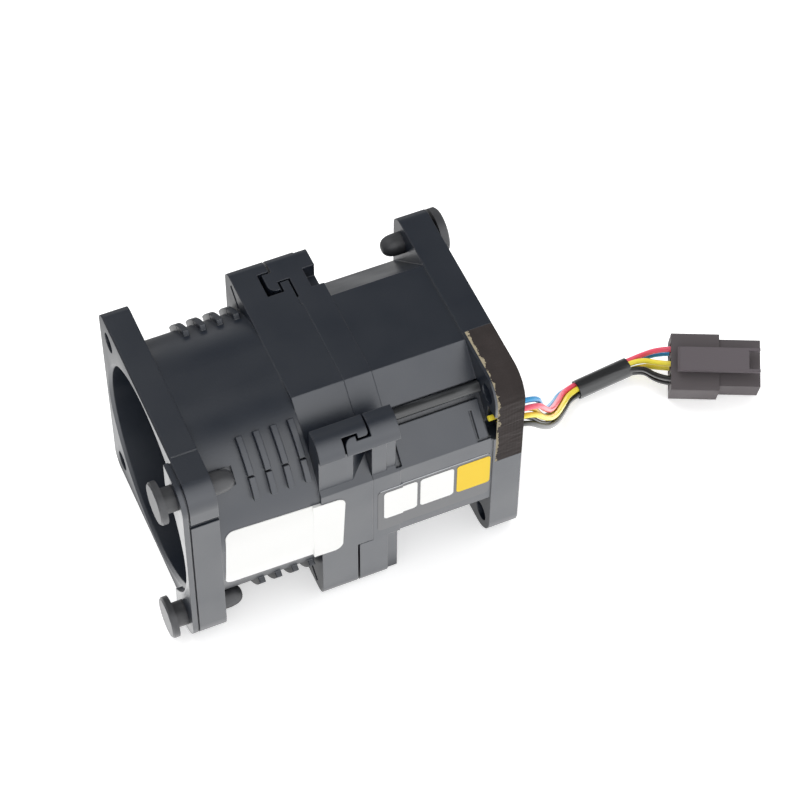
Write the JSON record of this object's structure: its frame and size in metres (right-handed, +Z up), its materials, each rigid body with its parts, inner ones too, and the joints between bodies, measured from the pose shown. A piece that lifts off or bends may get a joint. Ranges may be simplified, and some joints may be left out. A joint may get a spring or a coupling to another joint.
{
  "type": "server fan module",
  "caption": "Counter-rotating inline server fan module with hooked duct halves, rubber isolation pins and a latching wire plug.",
  "frame": {"origin": "on the floor under the module's middle, halfway between its two flange faces", "axes": "+X along the fan axis from the inlet face to the outlet face, +Z up, -Y the label side"},
  "size_m": [0.1129, 0.0407, 0.04],
  "materials": {
    "black_housing_plastic": "satin",
    "black_impeller_plastic": "satin",
    "black_rubber": "matte",
    "white_label_film": "satin",
    "clear_film": "gloss",
    "yellow_film": "satin",
    "brown_black_tape": "matte",
    "black_sleeving": "satin",
    "red_pvc": "gloss",
    "blue_pvc": "gloss",
    "yellow_pvc": "gloss",
    "black_pvc": "gloss",
    "grey_nylon": "satin",
    "grey_nylon_latch": "satin",
    "tinned_brass": "satin",
    "yoke_steel": "satin",
    "magnet": "matte",
    "polished_steel": "gloss",
    "brass_tube": "satin",
    "core_steel": "satin",
    "white_nylon": "satin",
    "enamelled_copper": "gloss",
    "board_green": "satin"
  },
  "bodies": {
    "module": {"front_housing": "black_housing_plastic", "rear_housing": "black_housing_plastic", "front_rubber_pins": "black_rubber", "rear_rubber_pins": "black_rubber", "info_label": "white_label_film", "sticker_film": "clear_film", "white_patches": "white_label_film", "yellow_patch": "yellow_film", "corner_tape": "brown_black_tape", "channel_leads": "black_sleeving", "red_wire": "red_pvc", "blue_wire": "blue_pvc", "yellow_wire_1": "yellow_pvc", "yellow_wire_2": "yellow_pvc", "black_wire_1": "black_pvc", "black_wire_2": "black_pvc", "heat_shrink_sleeve": "black_sleeving", "plug_housing": "grey_nylon", "plug_terminals": "tinned_brass", "front_bearing_outer_rings": "polished_steel", "front_bearing_balls": "polished_steel", "front_bearing_tube": "brass_tube", "front_stator_core": "core_steel", "front_coil_insulators": "white_nylon", "front_coils": "enamelled_copper", "front_circuit_board": "board_green", "rear_bearing_outer_rings": "polished_steel", "rear_bearing_balls": "polished_steel", "rear_bearing_tube": "brass_tube", "rear_stator_core": "core_steel", "rear_coil_insulators": "white_nylon", "rear_coils": "enamelled_copper", "rear_circuit_board": "board_green"},
    "front_rotor": {"front_impeller": "black_impeller_plastic", "front_rotor_yoke": "yoke_steel", "front_ring_magnet": "magnet", "front_shaft": "polished_steel", "front_retaining_clip": "polished_steel", "front_preload_washer": "polished_steel", "front_bearing_inner_rings": "polished_steel"},
    "rear_rotor": {"rear_impeller": "black_impeller_plastic", "rear_rotor_yoke": "yoke_steel", "rear_ring_magnet": "magnet", "rear_shaft": "polished_steel", "rear_retaining_clip": "polished_steel", "rear_preload_washer": "polished_steel", "rear_bearing_inner_rings": "polished_steel"},
    "latch": {"plug_latch": "grey_nylon_latch"}
  },
  "joints": [
    {"name": "front_impeller_spin", "type": "hinge", "parent": "module", "child": "front_rotor", "pos_m": [0, 0, 0.02], "axis": [1, 0, 0], "continuous": true},
    {"name": "rear_impeller_spin", "type": "hinge", "parent": "module", "child": "rear_rotor", "pos_m": [0, 0, 0.02], "axis": [1, 0, 0], "continuous": true},
    {"name": "plug_latch_rock", "type": "hinge", "parent": "module", "child": "latch", "pos_m": [0.07093, -0.00737, 0.00887], "axis": [-0.3889, -0.8417, -0.3746], "range_deg": [0, 6], "stiffness_Nm_per_rad": 0.01}
  ]
}
